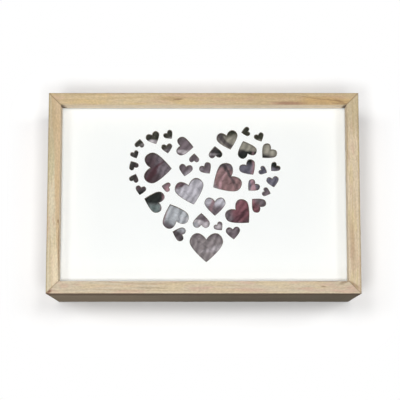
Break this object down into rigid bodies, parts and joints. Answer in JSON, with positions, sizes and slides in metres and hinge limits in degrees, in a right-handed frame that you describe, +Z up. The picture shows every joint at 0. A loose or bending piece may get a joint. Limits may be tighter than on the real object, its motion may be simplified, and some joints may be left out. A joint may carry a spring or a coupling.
{
  "type": "keepsake box",
  "caption": "Shallow wooden keepsake box whose lift-off lid is a deep picture frame, with a white mat of heart-shaped windows over a print.",
  "frame": {"origin": "middle of the underside, on the surface the box stands on", "axes": "+X along the box's length, +Y across it towards the back rail, +Z up through the lid"},
  "size_m": [0.34, 0.221, 0.12],
  "materials": {
    "pale_wood": "satin oiled, fine straight grain",
    "clear_pane": "clear polished",
    "mat_board": "matt white board",
    "print_paper": "matt print on paper",
    "hardboard": "plain hardboard",
    "plywood": "sanded plywood"
  },
  "bodies": {
    "root": {"lid_rail_front": "pale_wood", "lid_rail_back": "pale_wood", "lid_rail_left": "pale_wood", "lid_rail_right": "pale_wood", "lid_pane": "clear_pane", "lid_heart_mat": "mat_board", "lid_print": "print_paper", "lid_backing": "hardboard", "tray_side_front": "pale_wood", "tray_side_back": "pale_wood", "tray_side_left": "pale_wood", "tray_side_right": "pale_wood", "tray_bottom": "plywood"}
  },
  "joints": []
}
